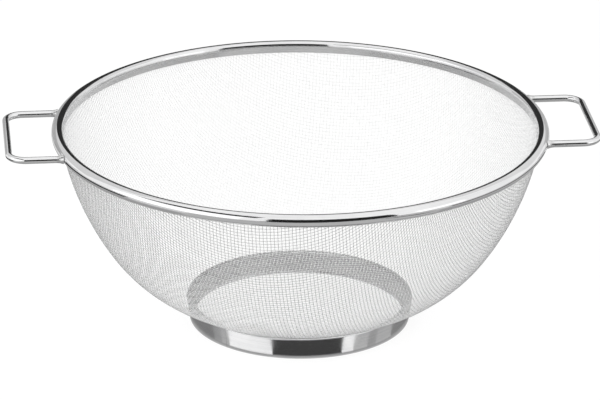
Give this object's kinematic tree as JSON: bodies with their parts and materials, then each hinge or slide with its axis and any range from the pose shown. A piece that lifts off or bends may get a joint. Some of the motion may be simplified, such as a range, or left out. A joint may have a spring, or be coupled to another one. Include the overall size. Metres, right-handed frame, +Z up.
{
  "type": "colander",
  "caption": "Wire mesh colander: round woven steel bowl in a rolled rim, with wire loop handles at both sides and a low foot ring, for draining and rinsing food.",
  "frame": {"origin": "middle of the foot ring, on the surface that the colander stands on", "axes": "+X through the right handle, +Y to the far side, +Z up"},
  "size_m": [0.3098, 0.26, 0.109],
  "materials": {
    "mesh_wire": "bright drawn stainless wire, woven",
    "rim_steel": "polished stainless strip, rolled",
    "core_steel": "plain drawn wire",
    "foot_steel": "satin stainless strip",
    "handle_steel": "polished stainless wire",
    "weld_steel": "polished weld"
  },
  "bodies": {
    "root": {"mesh_bowl": "mesh_wire", "rim_band": "rim_steel", "rim_core_wire": "core_steel", "foot_ring": "foot_steel", "handle_right": "handle_steel", "weld_right_far": "weld_steel", "weld_right_near": "weld_steel", "handle_left": "handle_steel", "weld_left_far": "weld_steel", "weld_left_near": "weld_steel"}
  },
  "joints": []
}
